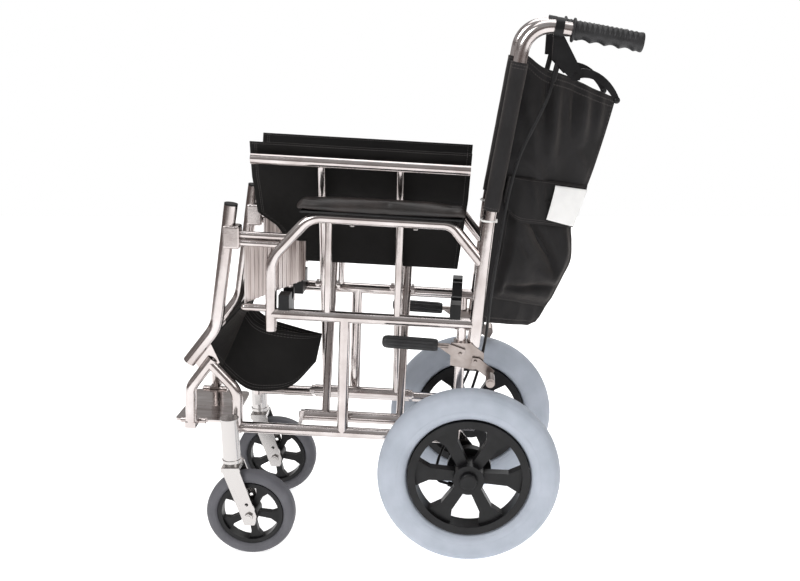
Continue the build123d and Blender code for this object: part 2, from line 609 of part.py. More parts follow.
def park_lever():
    y, z = PARK_PIVOT
    arm = plate_yz([(y + 8, z - 8), (y - 8, z - 8), (y - 34, z + 9), (y - 34, z + 17), (y - 20, z + 17),
                    (y + 8, z + 8)], PARK_T, PARK_X)
    stalk = rod([(PARK_X, y - 20, z + 13), (PARK_X, y - 128, z + 15)], 8)
    hole = along_x(PARK_X - 5, PARK_X + 5, 6 + 2 * RUN, y, z)
    return (arm + stalk) - hole


def park_grip():
    y, z = PARK_PIVOT
    ends = [(PARK_X, y - 38, z + 13 + 18 * 2 / 108), (PARK_X, y - 131, z + 15 + 3 * 2 / 108)]
    sleeve = rod(ends, PARK_GRIP_D)
    return sleeve - rod([(PARK_X, y - 20, z + 13), (PARK_X, y - 128, z + 15)], 8 + 2 * FIT)


def park_shoe():
    y, z = SHOE_PIVOT
    arm = plate_yz([(y - 7, z - 6), (y - 5, z + 7), (y + 7, z + 6), (SHOE_AT[0] + 7, SHOE_AT[1] + 5),
                    (SHOE_AT[0] + 2, SHOE_AT[1] - 7), (SHOE_AT[0] - 7, SHOE_AT[1] - 5)], PARK_T, PARK_X)
    bar = along_x(PARK_X - 2, REAR_WHEEL_X + REAR_TYRE_W / 2 - 4, 10, *SHOE_AT)
    knurl = along_x(REAR_WHEEL_X - REAR_TYRE_W / 2 + 2, REAR_WHEEL_X + REAR_TYRE_W / 2 - 6, 15, *SHOE_AT)
    return fused([arm, bar, knurl]) - along_x(PARK_X - 5, PARK_X + 5, 6 + 2 * RUN, y, z)


# ---- Foot plate and guard ----
def foot_plate():
    """Plate on a pin under the foot tube's lower end, turned in and drooping a little."""
    plate = box_at((-PLATE_W, -4), (-PLATE_L * 0.34, PLATE_L * 0.66), (-PLATE_T, 0))
    plate = fillet(plate.edges().filter_by(Axis.Z), 8)
    knuckles = [along_y(s * (LUG_HALF + CLEAR), s * (LUG_HALF + 12), 11, 0, 0) for s in (-1, 1)]
    relief = box_at((-7, 7), (-LUG_HALF - CLEAR, LUG_HALF + CLEAR), (-9, 9))
    solid = fused([plate, *knuckles]) - relief - along_y(-60, 60, 6 + 2 * RUN, 0, 0)
    return Pos(PLATE_HINGE_X, -482, PLATE_HINGE_Z) * Rot(0, -PLATE_DROOP, 0) * solid


def guard_panel():
    """Ribbed sheet inboard of the short bars, between the front upright and the arm tube."""
    rib_d = 4.0
    x = FRAME_X - TUBE / 2 - CLEAR - rib_d / 2
    top = BAR_Z[0] - 8
    front, rear = -391.0, -293.0
    low_front, low_rear = 264.0, 310.0
    count = 15
    sheet = plate_yz([(front, top), (rear, top), (rear, low_rear), (front, low_front)], 1.6, x)
    ribs = []
    for i in range(count):
        part_way = i / (count - 1)
        y = front + (rear - front) * part_way
        ribs.append(rod([(x, y, top), (x, y, low_front + (low_rear - low_front) * part_way)], rib_d))
    hook = box_at((x, FRAME_X - SLIM / 2 - FIT), (front, ARM_FRONT_Y - TUBE), (BAR_Z[1] - 2, BAR_Z[1] + 2))
    return fused([sheet, hook, *ribs])


# ---- Build every node, then write it with the origin under the middle of the whole ----
RAKED = {"side_frame": side_frame, "front_frame": front_frame, "arm_tube": arm_tube, "arm_pad": arm_pad,
         "back_cane": back_cane, "end_fittings": end_fittings, "back_sleeve": back_sleeve,
         "back_panel": back_panel, "strap_loop": strap_loop, "calf_strap": calf_strap,
         "seat_half": seat_half, "handle_grip": handle_grip, "brake_clamp": brake_clamp,
         "hand_lever": hand_lever, "brake_cable": brake_cable, "park_bracket": park_bracket,
         "park_lever": park_lever, "park_grip": park_grip, "park_shoe": park_shoe,
         "foot_plate": foot_plate, "guard_panel": guard_panel}
UPRIGHTS = {"caster_housing": caster_housing, "caster_fork": caster_fork, "caster_axle": caster_axle,
            "caster_rim": caster_rim, "caster_tyre": caster_tyre, "rear_rim": rear_rim,
            "rear_tyre": rear_tyre, "rear_hub": rear_hub}

left = {name: tilt(make()) for name, make in RAKED.items()}
left.update({name: make() for name, make in UPRIGHTS.items()})
braces = {"brace_a": tilt(brace(1, LEG / 2 + CLEAR, True)), "brace_b": tilt(brace(-1, -LEG / 2 - CLEAR, False))}

boxes = [shape.bounding_box() for shape in left.values()]
ORIGIN_Y = (min(box.min.Y for box in boxes) + max(box.max.Y for box in boxes)) / 2
to_origin = Pos(0, -ORIGIN_Y, 0)
for name, shape in left.items():
    placed = to_origin * shape
    export_step(placed, f"parts/{name}_left.step")
    export_step(mirror(placed, about=Plane.YZ), f"parts/{name}_right.step")
for name, shape in braces.items():
    export_step(to_origin * shape, f"parts/{name}.step")
print("fold range", round(FOLD_RANGE, 3), "open frame x", round(FRAME_OPEN_X, 2), "origin y", round(ORIGIN_Y, 3))
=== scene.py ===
# A folding attendant wheelchair, stored folded. +X is the sitter's left, -Y the front, +Z up, in metres.
import math

import bpy
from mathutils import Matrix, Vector, noise


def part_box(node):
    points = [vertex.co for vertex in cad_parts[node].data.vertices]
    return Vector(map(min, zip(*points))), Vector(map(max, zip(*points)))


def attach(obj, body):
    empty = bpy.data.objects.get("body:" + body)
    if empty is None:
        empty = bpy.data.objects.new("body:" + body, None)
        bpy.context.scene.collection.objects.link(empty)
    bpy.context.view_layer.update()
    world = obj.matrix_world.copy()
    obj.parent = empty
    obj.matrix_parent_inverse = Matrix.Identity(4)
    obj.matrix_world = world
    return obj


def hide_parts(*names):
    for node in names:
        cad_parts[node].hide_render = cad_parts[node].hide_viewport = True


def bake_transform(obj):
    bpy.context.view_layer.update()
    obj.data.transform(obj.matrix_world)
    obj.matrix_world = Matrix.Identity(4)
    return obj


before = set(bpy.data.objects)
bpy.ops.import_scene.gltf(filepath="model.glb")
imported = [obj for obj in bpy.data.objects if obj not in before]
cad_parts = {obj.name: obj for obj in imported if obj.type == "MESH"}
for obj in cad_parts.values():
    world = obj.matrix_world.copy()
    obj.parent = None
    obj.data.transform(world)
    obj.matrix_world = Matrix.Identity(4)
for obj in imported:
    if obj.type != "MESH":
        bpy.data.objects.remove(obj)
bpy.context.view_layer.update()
SIDES = (("left", 1), ("right", -1))


# ---- Camera, floor and light ----
# The chair stands on a white studio floor in soft light. The camera is 0.93 m up on the chair's left and
# looks down by 15.5 degrees. The light on the chair comes in pale and dark bands, which give the metal its
# edges, while the camera sees plain white.
camera_data = bpy.data.cameras.new("camera")
camera = bpy.data.objects.new("camera", camera_data)
bpy.context.scene.collection.objects.link(camera)
camera_data.sensor_width = 36
camera_data.lens = 47.25
camera_data.shift_x = -0.0988
camera.location = (1.7753, 0.138, 0.9327)
camera.rotation_euler = (math.radians(90 - 15.505), 0, math.radians(90.086))
bpy.context.scene.camera = camera
bpy.context.scene.view_settings.view_transform = "Standard"

bpy.ops.object.select_all(action="DESELECT")
bpy.ops.mesh.primitive_plane_add(size=5.6, location=(0, 0, 0))
floor = bpy.context.object
floor.name = "floor"
paper = bpy.data.materials.new("studio_paper")
paper.use_nodes = True
sockets = paper.node_tree.nodes["Principled BSDF"].inputs
sockets["Base Color"].default_value = (0.93, 0.93, 0.93, 1)
sockets["Roughness"].default_value = 0.9
sockets["Emission Color"].default_value = (1, 1, 1, 1)
sockets["Emission Strength"].default_value = 0.7
floor.data.materials.append(paper)

world = bpy.data.worlds.new("studio")
bpy.context.scene.world = world
world.use_nodes = True
sky_nodes, sky_links = world.node_tree.nodes, world.node_tree.links
sky_nodes.clear()
direction = sky_nodes.new("ShaderNodeTexCoord")
apart = sky_nodes.new("ShaderNodeSeparateXYZ")
bands = sky_nodes.new("ShaderNodeValToRGB")
lift = sky_nodes.new("ShaderNodeMath")
lift.operation = "MULTIPLY_ADD"
lift.inputs[1].default_value = 0.5
lift.inputs[2].default_value = 0.5
sky_links.new(direction.outputs["Generated"], apart.inputs[0])
sky_links.new(apart.outputs["Z"], lift.inputs[0])
sky_links.new(lift.outputs[0], bands.inputs[0])
stops = ((0.0, (0.7, 0.7, 0.7)), (0.44, (0.5, 0.44, 0.42)), (0.49, (0.1, 0.07, 0.065)),
         (0.52, (0.36, 0.27, 0.25)), (0.56, (0.85, 0.83, 0.82)), (0.62, (0.3, 0.26, 0.25)),
         (0.68, (0.9, 0.9, 0.9)), (0.8, (0.55, 0.53, 0.52)), (1.0, (0.95, 0.95, 0.97)))
for i, (place, colour) in enumerate(stops):
    stop = bands.color_ramp.elements[i] if i < 2 else bands.color_ramp.elements.new(place)
    stop.position = place
    stop.color = (*colour, 1)
seen = sky_nodes.new("ShaderNodeBackground")
seen.inputs["Color"].default_value = (1, 1, 1, 1)
seen.inputs["Strength"].default_value = 1.0
lit = sky_nodes.new("ShaderNodeBackground")
lit.inputs["Strength"].default_value = 0.56
sky_links.new(bands.outputs[0], lit.inputs["Color"])
ray = sky_nodes.new("ShaderNodeLightPath")
choice = sky_nodes.new("ShaderNodeMixShader")
sky_links.new(ray.outputs["Is Camera Ray"], choice.inputs[0])
sky_links.new(lit.outputs[0], choice.inputs[1])
sky_links.new(seen.outputs[0], choice.inputs[2])
out = sky_nodes.new("ShaderNodeOutputWorld")
sky_links.new(choice.outputs[0], out.inputs[0])


def soft_box(name, place, aim, size, power):
    """A square lamp at place, turned to shine at aim."""
    data = bpy.data.lights.new(name, "AREA")
    data.shape = "RECTANGLE"
    data.size, data.size_y = size
    data.energy = power
    lamp = bpy.data.objects.new(name, data)
    lamp.location = place
    lamp.rotation_mode = "QUATERNION"
    lamp.rotation_quaternion = (Vector(aim) - Vector(place)).to_track_quat("-Z", "Y")
    bpy.context.scene.collection.objects.link(lamp)


soft_box("key_lamp", (1.8, -1.6, 2.4), (0, 0, 0.4), (1.4, 1.4), 44)
soft_box("fill_lamp", (1.6, 2.2, 1.5), (0, 0, 0.4), (1.6, 1.0), 12)
soft_box("top_lamp", (-0.4, 0.2, 3.0), (0, 0, 0.3), (2.0, 2.0), 24)
soft_box("back_lamp", (-2.4, 0.8, 1.6), (0, 0, 0.4), (1.4, 1.4), 14)


# ---- Frame tubes, braces, arm tubes, canes and foot plates ----
# The welded side and front frames, the crossed braces, the arm tubes and the back canes are bent aluminium
# tube, and the foot plates are aluminium plate. All are polished and lacquered, so they mirror the room with
# a faint drawn grain.
def new_finish(name, base, metallic, roughness):
    """A finish with its shader, and Object coordinates ready to use."""
    finish = bpy.data.materials.new(name)
    finish.use_nodes = True
    nodes, links = finish.node_tree.nodes, finish.node_tree.links
    shader = nodes["Principled BSDF"]
    shader.inputs["Base Color"].default_value = (*base, 1)
    shader.inputs["Metallic"].default_value = metallic
    shader.inputs["Roughness"].default_value = roughness
    where = nodes.new("ShaderNodeTexCoord")
    return finish, nodes, links, shader, where.outputs["Object"]


def grain(nodes, links, source, scale, detail=4.0, stretch=(1, 1, 1), start=(0, 0, 0)):
    """Noise over source, stretched along an axis where stretch is small."""
    mapping = nodes.new("ShaderNodeMapping")
    mapping.inputs["Scale"].default_value = stretch
    mapping.inputs["Location"].default_value = start
    links.new(source, mapping.inputs["Vector"])
    texture = nodes.new("ShaderNodeTexNoise")
    texture.inputs["Scale"].default_value = scale
    texture.inputs["Detail"].default_value = detail
    links.new(mapping.outputs[0], texture.inputs["Vector"])
    return texture.outputs["Fac"]


def shades(nodes, links, source, stops):
    """Colours along a factor."""
    ramp = nodes.new("ShaderNodeValToRGB")
    for i, (place, colour) in enumerate(stops):
        stop = ramp.color_ramp.elements[i] if i < 2 else ramp.color_ramp.elements.new(place)
        stop.position = place
        stop.color = (*colour, 1)
    links.new(source, ramp.inputs[0])
    return ramp.outputs[0]


def rough_from(nodes, links, shader, source, low, high):
    """Roughness between low and high along a factor."""
    spread = nodes.new("ShaderNodeMapRange")
    spread.inputs["To Min"].default_value = low
    spread.inputs["To Max"].default_value = high
    links.new(source, spread.inputs["Value"])
    links.new(spread.outputs[0], shader.inputs["Roughness"])


def relief(nodes, links, shader, source, strength, depth):
    """Bump from a factor, on top of any bump already there."""
    bump = nodes.new("ShaderNodeBump")
    bump.inputs["Strength"].default_value = strength
    bump.inputs["Distance"].default_value = depth
    links.new(source, bump.inputs["Height"])
    socket = shader.inputs["Normal"]
    if socket.is_linked:
        links.new(socket.links[0].from_socket, bump.inputs["Normal"])
    links.new(bump.outputs[0], socket)


def wear(finish, *parts):
    """Gives the finish to these parts on both sides."""
    for side, sign in SIDES:
        for part in parts:
            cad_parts[f"{part}_{side}"].data.materials.clear()
            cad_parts[f"{part}_{side}"].data.materials.append(finish)


tube_metal, nodes, links, shader, where = new_finish("polished_tube", (0.6, 0.56, 0.55), 1.0, 0.14)
drawn = grain(nodes, links, where, 60, 5, (1, 0.25, 0.25))
links.new(shades(nodes, links, drawn, ((0.3, (0.44, 0.39, 0.375)), (0.7, (0.66, 0.62, 0.61)))),
          shader.inputs["Base Color"])
rough_from(nodes, links, shader, grain(nodes, links, where, 26, 6), 0.08, 0.24)
relief(nodes, links, shader, grain(nodes, links, where, 45, 3), 0.08, 0.002)
wear(tube_metal, "side_frame", "front_frame", "arm_tube", "back_cane", "foot_plate")
for part in ("brace_a", "brace_b"):
    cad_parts[part].data.materials.clear()
    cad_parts[part].data.materials.append(tube_metal)


# ---- Guard panels ----
# A corrugated aluminium sheet on each side, hooked between the front upright and the arm tube. Handling has
# dulled it and left streaks down it.
panel_metal, nodes, links, shader, where = new_finish("guard_sheet", (0.6, 0.57, 0.55), 1.0, 0.32)
streaks = grain(nodes, links, where, 38, 5, (1, 1, 0.08))
worn_colours = ((0.34, (0.16, 0.13, 0.12)), (0.47, (0.5, 0.44, 0.42)), (0.66, (0.78, 0.74, 0.73)))
links.new(shades(nodes, links, streaks, worn_colours), shader.inputs["Base Color"])
rough_from(nodes, links, shader, streaks, 0.2, 0.42)
relief(nodes, links, shader, streaks, 0.15, 0.001)
wear(panel_metal, "guard_panel")


# ---- Caster housings, forks and axles ----
# Chrome-plated steel: the housing at the front of the frame, the fork that swivels in it and the wheel's
# axle bolt. All are bright, with slight orange peel and a few duller patches.
chrome, nodes, links, shader, where = new_finish("bright_chrome", (0.52, 0.5, 0.49), 1.0, 0.2)
patches = grain(nodes, links, where, 14, 4)
rough_from(nodes, links, shader, patches, 0.12, 0.34)
relief(nodes, links, shader, grain(nodes, links, where, 220, 2), 0.05, 0.0004)
wear(chrome, "caster_housing", "caster_fork", "caster_axle")


# ---- Parking brake brackets, levers and shoes ----
# Pressed steel, zinc plated, slightly yellowed and duller than the chrome. The bracket sits on the side
# frame, the lever turns on it, and the shoe follows the lever to the tyre.
zinc, nodes, links, shader, where = new_finish("zinc_plate", (0.34, 0.3, 0.28), 1.0, 0.3)
tarnish = grain(nodes, links, where, 35, 5)
links.new(shades(nodes, links, tarnish, ((0.3, (0.24, 0.2, 0.18)), (0.7, (0.46, 0.41, 0.39)))),
          shader.inputs["Base Color"])
rough_from(nodes, links, shader, tarnish, 0.2, 0.42)
relief(nodes, links, shader, grain(nodes, links, where, 260, 2), 0.1, 0.0004)
wear(zinc, "park_bracket", "park_lever", "park_shoe")


# ---- Moulded black plastic: rims, hubs, end caps, rail saddles, brake clamps, hand levers and cables ----
# Glass-filled nylon with a fine spark-eroded texture, a little shinier where it is handled. The brake cables'
# jackets are near enough to it in colour and gloss to share it.
moulded, nodes, links, shader, where = new_finish("moulded_nylon", (0.006, 0.006, 0.0065), 0.0, 0.34)
shader.inputs["Specular IOR Level"].default_value = 0.28
speckle = grain(nodes, links, where, 900, 2)
links.new(shades(nodes, links, grain(nodes, links, where, 30, 4),
                 ((0.3, (0.004, 0.004, 0.0045)), (0.75, (0.012, 0.012, 0.013)))),
          shader.inputs["Base Color"])
rough_from(nodes, links, shader, grain(nodes, links, where, 18, 4), 0.28, 0.5)
relief(nodes, links, shader, speckle, 0.12, 0.0003)
wear(moulded, "rear_rim", "caster_rim", "rear_hub", "end_fittings", "brake_clamp", "hand_lever",
     "brake_cable")


# ---- Tyres ----
# Solid grey rubber tyres on the plastic rims, pale on the rear wheels and darker on the casters. The crown
# has fine crosswise knurling, and each wall has three moulded rings.
def sums(nodes, links):
    """A function that adds a Math node of a kind, fed by numbers or sockets."""
    def math_node(kind, *values):
        node = nodes.new("ShaderNodeMath")
        node.operation = kind
        for i, value in enumerate(values):
            if isinstance(value, (int, float)):
                node.inputs[i].default_value = value
            else:
                links.new(value, node.inputs[i])
        return node.outputs[0]
    return math_node


def tyre_finish(name, middle, pale, dark, knurls, rings):
    """Grey rubber round an axle that runs along X through middle; rings are the radii of moulded lines."""
    finish, nodes, links, shader, where = new_finish(name, pale, 0.0, 0.62)
    centred = nodes.new("ShaderNodeMapping")
    centred.inputs["Location"].default_value = [-c for c in middle]
    links.new(where, centred.inputs["Vector"])
    apart = nodes.new("ShaderNodeSeparateXYZ")
    links.new(centred.outputs[0], apart.inputs[0])

    math_node = sums(nodes, links)
    across, along, up = apart.outputs
    turn = math_node("ARCTAN2", up, along)
    square = math_node("ADD", math_node("MULTIPLY", along, along), math_node("MULTIPLY", up, up))
    radius = math_node("SQRT", square)
    teeth = math_node("SINE", math_node("MULTIPLY", turn, knurls))
    rows = math_node("SINE", math_node("MULTIPLY", across, 2 * math.pi / 0.0035))
    crown = math_node("GREATER_THAN", radius, rings[-1] + 0.004)
    knurl = math_node("MULTIPLY", math_node("MULTIPLY", teeth, rows), crown)
    lines = None
    for ring in rings:
        near = math_node("LESS_THAN", math_node("ABSOLUTE", math_node("SUBTRACT", radius, ring)), 0.0008)
        lines = near if lines is None else math_node("ADD", lines, near)
    stains = grain(nodes, links, where, 22, 5)
    links.new(shades(nodes, links, stains, ((0.3, dark), (0.7, pale))), shader.inputs["Base Color"])
    rough_from(nodes, links, shader, stains, 0.5, 0.72)
    relief(nodes, links, shader, knurl, 0.35, 0.0007)
    relief(nodes, links, shader, lines, 0.6, 0.0012)
    relief(nodes, links, shader, grain(nodes, links, where, 500, 2), 0.1, 0.0003)
    return finish


for side, sign in SIDES:
    for part, pale, dark, knurls, rings in (
            ("rear_tyre", (0.46, 0.5, 0.57), (0.37, 0.41, 0.47), 150, (0.112, 0.122, 0.146)),
            ("caster_tyre", (0.12, 0.12, 0.135), (0.08, 0.08, 0.09), 90, (0.06, 0.066, 0.072))):
        low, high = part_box(f"{part}_{side}")
        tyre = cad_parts[f"{part}_{side}"]
        tyre.data.materials.clear()
        rubber = tyre_finish(f"{part}_rubber_{side}", (low + high) / 2, pale, dark, knurls, rings)
        tyre.data.materials.append(rubber)


# ---- Seat ----
# Two thicknesses of black coated nylon, hemmed all round, screwed along the inner side of each seat rail, and
# hanging in a fold between the crossed braces. A hemmed edge stands above the rail.
RAKE = math.radians(3.3)
AXLE_Y, AXLE_Z = 0.11809, 0.155


def chair(x, y, z):
    """A point in millimetres along and square to the frame's rails, as a place in metres."""
    y, z = y / 1000, z / 1000
    return Vector((x / 1000, AXLE_Y + y * math.cos(RAKE) + z * math.sin(RAKE),
                   AXLE_Z - y * math.sin(RAKE) + z * math.cos(RAKE)))


def between(value, points):
    """Height of a line through (value, height) points."""
    if value <= points[0][0]:
        return points[0][1]
    for (v0, h0), (v1, h1) in zip(points, points[1:]):
        if value <= v1:
            return h0 + (h1 - h0) * (value - v0) / (v1 - v0)
    return points[-1][1]


def curve(value, points):
    """Height of a smooth curve through (value, height) points."""
    if value <= points[0][0]:
        return points[0][1]
    for i, ((v0, h0), (v1, h1)) in enumerate(zip(points, points[1:])):
        if value <= v1:
            before, after = points[max(i - 1, 0)], points[min(i + 2, len(points) - 1)]
            slope0 = (h1 - before[1]) / (v1 - before[0])
            slope1 = (after[1] - h0) / (after[0] - v0)
            t, run = (value - v0) / (v1 - v0), v1 - v0
            return ((2 * t ** 3 - 3 * t * t + 1) * h0 + (t ** 3 - 2 * t * t + t) * run * slope0
                    + (3 * t * t - 2 * t ** 3) * h1 + (t ** 3 - t * t) * run * slope1)
    return points[-1][1]


def ease(value, low, high):
    """0 below low, 1 above high, smooth between."""
    t = min(1, max(0, (value - low) / (high - low)))
    return t * t * (3 - 2 * t)


def rumple(a, b, seed):
    """Smooth wrinkles, from -1 to 1, a and b in millimetres."""
    broad = noise.noise(Vector((a * 0.011, b * 0.018, seed)))
    fine = noise.noise(Vector((a * 0.034, b * 0.05, seed + 7.3)))
    ridge = 1 - 2 * abs(noise.noise(Vector((a * 0.02 + b * 0.012, b * 0.009, seed + 3.1))))
    return 0.75 * broad + 0.3 * fine + 0.45 * (ridge - 0.6)


def face_outwards(piece):
    """Turns every face of a closed mesh outwards, and leaves the piece the active one."""
    bpy.ops.object.select_all(action="DESELECT")
    piece.select_set(True)
    bpy.context.view_layer.objects.active = piece
    bpy.ops.object.mode_set(mode="EDIT")
    bpy.ops.mesh.select_all(action="SELECT")
    bpy.ops.mesh.normals_make_consistent(inside=False)
    bpy.ops.object.mode_set(mode="OBJECT")


def sewn_sheet(name, place, columns, rows, thickness):
    """A sheet of cloth whose points place(u, v) gives, with u and v from 0 to 1."""
    bpy.ops.object.select_all(action="DESELECT")
    bpy.ops.mesh.primitive_grid_add(x_subdivisions=columns, y_subdivisions=rows, size=1, calc_uvs=True)
    cloth = bpy.context.object
    cloth.name = name
    cloth.data.name = name
    for vertex in cloth.data.vertices:
        vertex.co = place(vertex.co.x + 0.5, vertex.co.y + 0.5)
    wall = cloth.modifiers.new("wall", "SOLIDIFY")
    wall.thickness = thickness
    wall.offset = 0
    bpy.ops.object.modifier_apply(modifier="wall")
    face_outwards(cloth)
    bpy.ops.object.shade_smooth()
    return cloth


def woven(name, base, sheen, columns_mm, rows_mm, hems):
    """Woven nylon, columns_mm by rows_mm along u and v, with stitches for each (axis, edge, inset)."""
    finish, nodes, links, shader, where = new_finish(name, base, 0.0, 0.7)
    shader.inputs["Sheen Weight"].default_value = sheen
    shader.inputs["Specular IOR Level"].default_value = 0.2
    shader.inputs["Sheen Roughness"].default_value = 0.45
    shader.inputs["Sheen Tint"].default_value = (0.62, 0.55, 0.5, 1)
    uv = nodes.new("ShaderNodeTexCoord").outputs["UV"]
    apart = nodes.new("ShaderNodeSeparateXYZ")
    links.new(uv, apart.inputs[0])

    math_node = sums(nodes, links)
    across = math_node("MULTIPLY", apart.outputs[0], columns_mm)
    along = math_node("MULTIPLY", apart.outputs[1], rows_mm)
    warp = math_node("SINE", math_node("MULTIPLY", across, 2 * math.pi / 1.6))
    weft = math_node("SINE", math_node("MULTIPLY", along, 2 * math.pi / 1.6))
    weave = math_node("MULTIPLY", warp, weft)
    stitches = None
    for axis, edge, inset in hems:
        here, run = (across, along) if axis == "u" else (along, across)
        full = columns_mm if axis == "u" else rows_mm
        line = full - inset if edge else inset
        close = math_node("LESS_THAN", math_node("ABSOLUTE", math_node("SUBTRACT", here, line)), 0.5)
        beat = math_node("SINE", math_node("MULTIPLY", run, 2 * math.pi / 4.2))
        dash = math_node("GREATER_THAN", beat, -0.35)
        row = math_node("MULTIPLY", close, dash)
        stitches = row if stitches is None else math_node("MAXIMUM", stitches, row)
    faded = grain(nodes, links, where, 16, 5)
    pale = tuple(min(1, c * 1.8 + 0.003) for c in base)
    colour = shades(nodes, links, faded, ((0.35, base), (0.8, pale)))
    if stitches is not None:
        mix = nodes.new("ShaderNodeMix")
        mix.data_type = "RGBA"
        links.new(stitches, mix.inputs["Factor"])
        links.new(colour, mix.inputs[6])
        mix.inputs[7].default_value = (0.06, 0.055, 0.055, 1)
        colour = mix.outputs[2]
    links.new(colour, shader.inputs["Base Color"])
    rough_from(nodes, links, shader, faded, 0.55, 0.82)
    relief(nodes, links, shader, grain(nodes, links, where, 90, 5), 0.35, 0.0016)
    relief(nodes, links, shader, weave, 0.4, 0.0004)
    if stitches is not None:
        relief(nodes, links, shader, stitches, 0.8, 0.0008)
    return finish


NYLON = (0.003, 0.0027, 0.0026)
# The paler copy of the nylon below is painted light: it is the seat's cloth, lightened to stand in for the
# extra light that falls on the back, its pocket and its flap.
NYLON_PAINTED_LIT = (0.012, 0.0115, 0.0122)
LEAN = math.radians(15.3)   # the hanging seat's slope, which is that of the brace legs
RAIL_X, RAIL_Z = 61.0, 505.6
SEAT_DROP, SEAT_RISE = 192.0, 25.0
SEAT_FRONT = ((-30, -389), (40, -389), (105, -383), (128, -352), (192, -308))
SEAT_REAR = ((-30, -24), (60, -27), (192, -39))


def seat_point(sign):
    def place(u, v):
        hang = -SEAT_RISE + (SEAT_DROP + SEAT_RISE) * (1 - v)
        front, rear = between(hang, SEAT_FRONT), between(hang, SEAT_REAR)
        y = front + (rear - front) * u
        room = 1 - ease(hang, 120, 190)
        off = between(hang, ((0, 11.2), (110, 11.2), (192, 9.3)))
        slack = 0.5 + 0.6 * rumple(y + 40 * sign, hang * 0.6, 11.0 + sign)
        off += 5.5 * room * ease(hang, -5, 60) * slack
        off += 1.2 * (1 - ease(hang, -25, 10)) * rumple(y * 1.4, hang, 5.0 + sign)
        x = RAIL_X - hang * math.sin(LEAN) - off * math.cos(LEAN)
        return chair(sign * x, y, RAIL_Z - hang * math.cos(LEAN) + off * math.sin(LEAN))
    return place


seat_cloth = woven("seat_nylon", NYLON, 0.12, 362, SEAT_DROP + SEAT_RISE,
                   (("v", 1, 3), ("v", 1, 22), ("u", 0, 8), ("u", 1, 8), ("u", 0, 11)))
for side, sign in SIDES:
    seat = sewn_sheet(f"seat_cloth_{side}", seat_point(sign), 120, 70, 0.0014)
    seat.data.materials.append(seat_cloth)
    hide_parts(f"seat_half_{side}")
    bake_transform(seat)


# ---- Back ----
# Black coated nylon, the seat's own cloth, with a sleeve sewn round each cane; its colour is painted paler
# than the seat's to stand in for the light that falls on the back. Folded, each half runs back to a crease in
# the middle, and its slack lies in soft folds.
CANE_X = 92.0
CANE_FOOT = (9.0, 430.0)
CANE_LEAN = math.atan2(41, 318)
HINGE_X = 58.0
SLEEVE_R, SLEEVE_EDGE = 12.7, 12.6
SLEEVE_LOW, SLEEVE_TALL = 448, 240
# heights, and how far behind the canes the crease lies at each
CREASE = ((232, 118), (245, 122), (262, 130), (300, 141), (335, 150), (370, 159), (405, 154), (432, 148),
          (460, 154), (500, 163), (566, 172), (660, 180), (700, 181))
# outlines and folds count 200 steps from a cane to the crease; here each step has its edge's height
ACROSS = 200
BACK_LOW = ((0, 448), (8, 400), (20, 300), (32, 250), (44, 245), (180, 241), (200, 248))
BACK_HIGH = ((0, 690), (12, 697), (52, 681), (104, 674), (150, 664), (200, 656))


def beside_cane(x, y, height):
    """A point y behind the cane's line, at a height measured up the cane."""
    rise = height - CANE_FOOT[1]
    return chair(x, CANE_FOOT[0] + rise * math.sin(CANE_LEAN) + y * math.cos(CANE_LEAN),
                 CANE_FOOT[1] + rise * math.cos(CANE_LEAN) - y * math.sin(CANE_LEAN))


def back_place(sign, across, height, off):
    """A point of the folded back: across is x, off is proud of the cloth on its outer face."""
    reach = (HINGE_X - across) * curve(height, CREASE) / HINGE_X
    out = Vector((curve(height, CREASE), HINGE_X)).normalized()
    x = across + off * out.x
    y = reach * 0.962 + off * out.y
    return beside_cane(sign * x, y, height)


def folds(lines, a, b):
    """Height of soft ridges at (a, b); each line is (from, to, half width, height)."""
    total = 0.0
    for (a0, b0), (a1, b1), width, height in lines:
        run = (a1 - a0) ** 2 + (b1 - b0) ** 2
        t = min(1, max(0, ((a - a0) * (a1 - a0) + (b - b0) * (b1 - b0)) / run))
        gap = math.hypot(a - a0 - t * (a1 - a0), b - b0 - t * (b1 - b0))
        total += height * math.exp(-(gap / width) ** 2) * math.sin(math.pi * (0.12 + 0.76 * t))
    return total


BACK_FOLDS = (((75, 676), (98, 540), 12, 11), ((58, 676), (76, 590), 8, -9),
              ((132, 668), (154, 580), 11, 11), ((114, 670), (132, 590), 8, -9),
              ((168, 662), (182, 590), 8, 6), ((15, 640), (104, 520), 13, 10),
              ((44, 610), (112, 505), 10, -9), ((24, 545), (90, 512), 10, 7),
              ((150, 560), (185, 515), 12, 6))


def back_point(sign):
    def place(u, v):
        if u < 0.66:
            across = HINGE_X * u / 0.66
            share = 1 - u / 0.66
            reach = share * ACROSS
            low, high = between(reach, BACK_LOW), curve(reach, BACK_HIGH)
            height = low + (high - low) * v
            fade = ease(share, 0, 0.15) * (1 - 0.85 * ease(share, 0.93, 1))
            off = 3.0 * rumple(reach * 1.3, height * 0.8, 21.0 + sign) + folds(BACK_FOLDS, reach, height)
            off *= fade
            off += 5.0 * fade * math.sin(math.pi * share) * (0.4 + 0.6 * ease(height, 420, 640))
            return back_place(sign, across, height, off)
        height = SLEEVE_LOW + SLEEVE_TALL * v
        if u < 0.76:
            x = HINGE_X + (CANE_X - SLEEVE_EDGE - HINGE_X) * (u - 0.66) / 0.1
            y = 0.9 + 0.6 * rumple(x, height, 2.0)
        else:
            turn = math.radians(180 - 12 - 336 * (u - 0.76) / 0.24)
            radius = SLEEVE_R + 0.9 * abs(rumple(70 * u, height * 0.7, 8.0 + sign))
            x, y = CANE_X + radius * math.cos(turn), radius * math.sin(turn)
        return beside_cane(sign * x, y, height)
    return place


